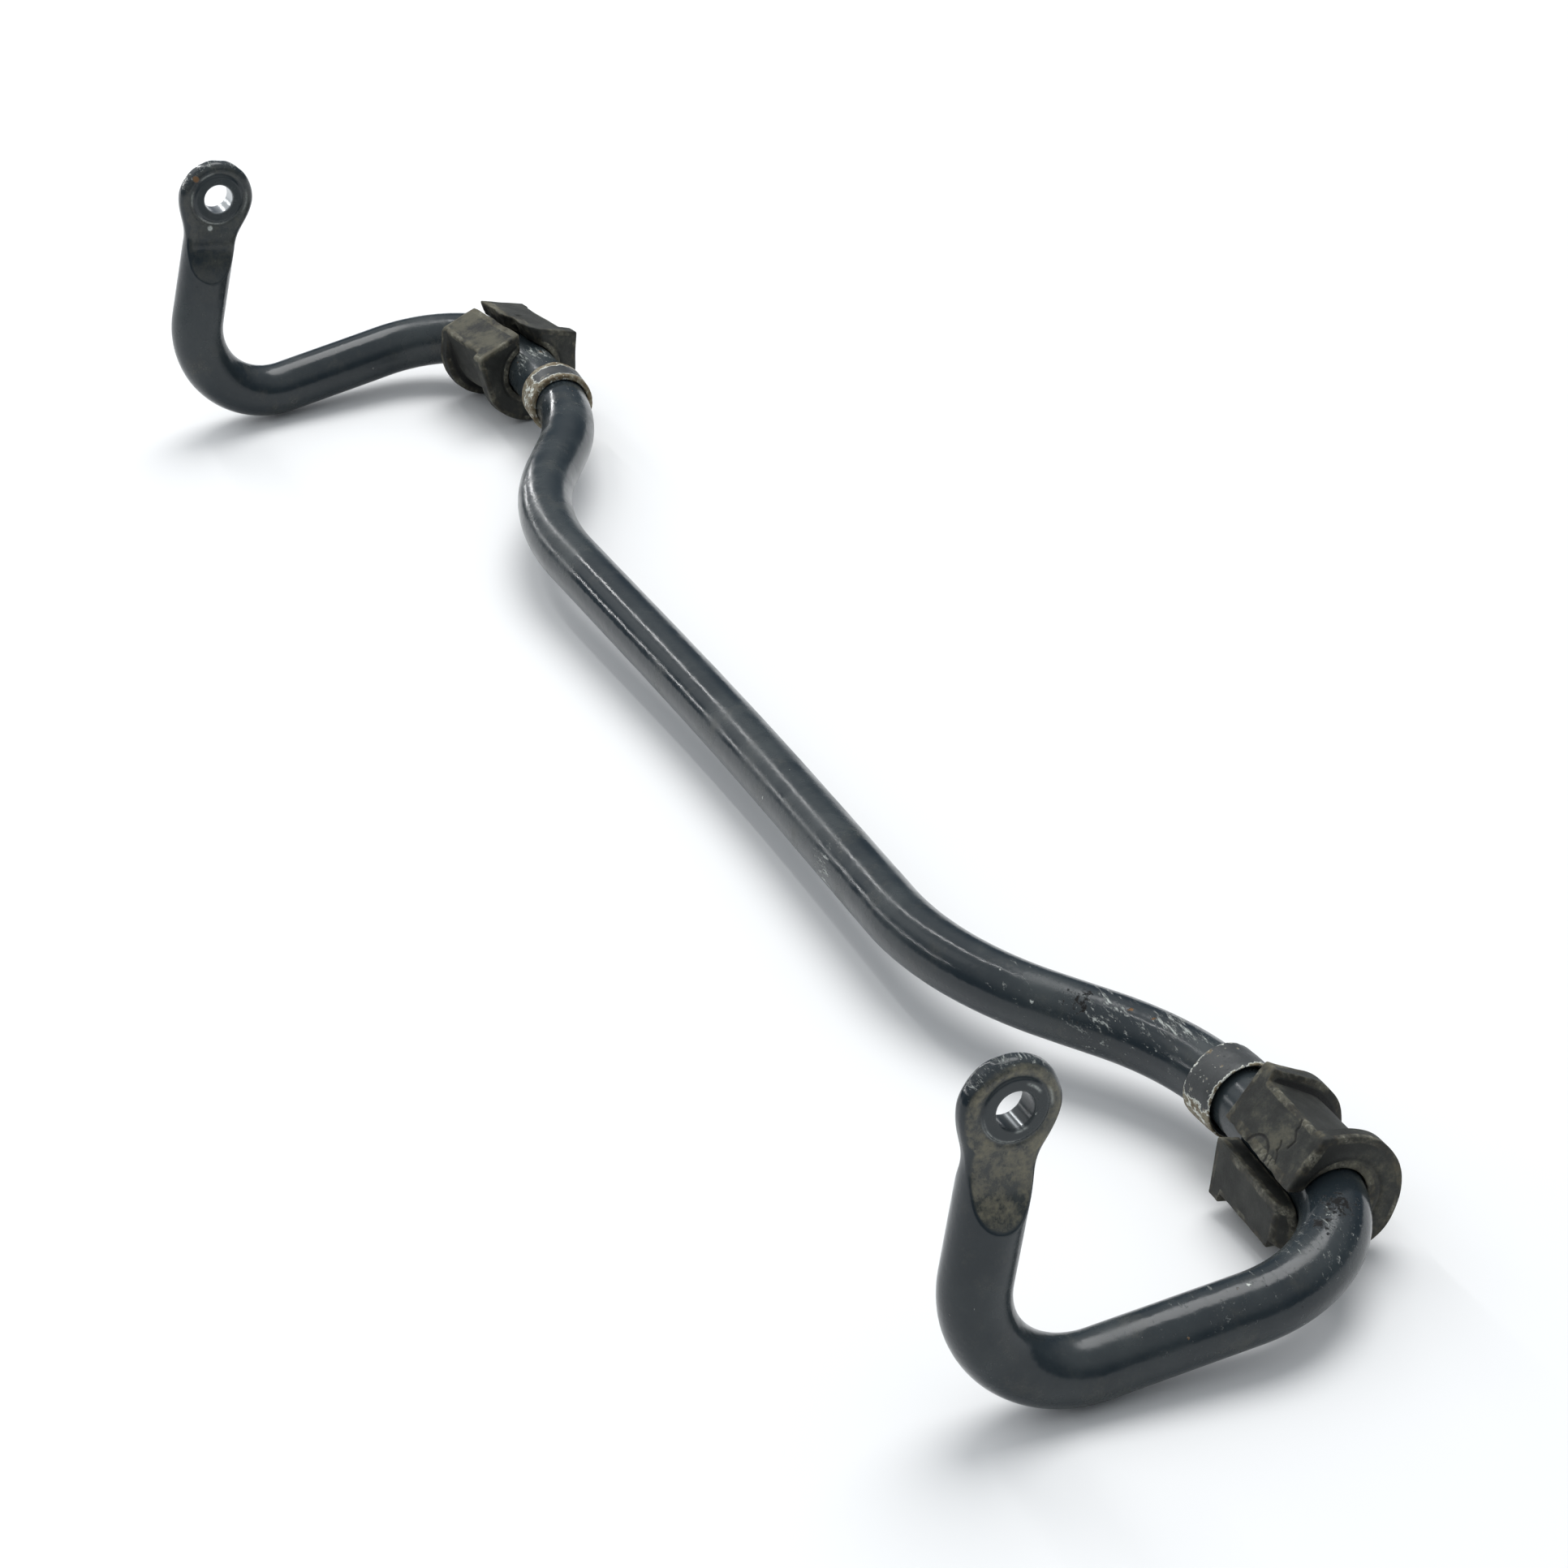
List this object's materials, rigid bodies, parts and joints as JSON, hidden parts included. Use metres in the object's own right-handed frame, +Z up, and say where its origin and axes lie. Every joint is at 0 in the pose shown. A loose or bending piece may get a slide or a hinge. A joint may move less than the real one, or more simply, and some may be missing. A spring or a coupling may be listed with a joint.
{
  "type": "sway bar",
  "caption": "Bent steel anti-roll bar with forged link eyes, anti-shift collars and split rubber bushes that turn and open on the bar",
  "frame": {"origin": "on the floor, under the middle of the whole assembly's box", "axes": "+X along the bar to its right end, -Y the way the arms point, +Z up as the bar lies on a floor with its uprights raised"},
  "size_m": [0.8772, 0.1778, 0.1316],
  "materials": {
    "bar_enamel": "glossy blue-black enamel, chipped and dusty, worn to bare brown on the eyes",
    "collar_alloy": "oxidised alloy with the remains of black paint",
    "bush_rubber": "matt black rubber, dusty, cracked and worn on its edges"
  },
  "bodies": {
    "bar": {"sway_bar": "bar_enamel", "right_collar": "collar_alloy", "left_collar": "collar_alloy"},
    "right_bush_front": {"right_bush_front_half": "bush_rubber"},
    "right_bush_rear": {"right_bush_rear_half": "bush_rubber"},
    "left_bush_front": {"left_bush_front_half": "bush_rubber"},
    "left_bush_rear": {"left_bush_rear_half": "bush_rubber"}
  },
  "joints": [
    {"name": "right_bush_turn", "type": "hinge", "parent": "bar", "child": "right_bush_front", "pos_m": [0.37208, 0.06405, 0.02431], "axis": [1, 0, 0], "range_deg": [-15, 15]},
    {"name": "right_bush_flex", "type": "hinge", "parent": "right_bush_front", "child": "right_bush_rear", "pos_m": [0.37208, 0.08646, 0.01724], "axis": [-1, 0, 0], "range_deg": [0, 40], "stiffness_Nm_per_rad": 0.8},
    {"name": "left_bush_turn", "type": "hinge", "parent": "bar", "child": "left_bush_front", "pos_m": [-0.37892, 0.06405, 0.02431], "axis": [1, 0, 0], "range_deg": [-15, 15]},
    {"name": "left_bush_flex", "type": "hinge", "parent": "left_bush_front", "child": "left_bush_rear", "pos_m": [-0.38039, 0.07086, 0.00286], "axis": [-0.9877, -0.1554, -0.0177], "range_deg": [0, 40], "stiffness_Nm_per_rad": 0.8}
  ]
}
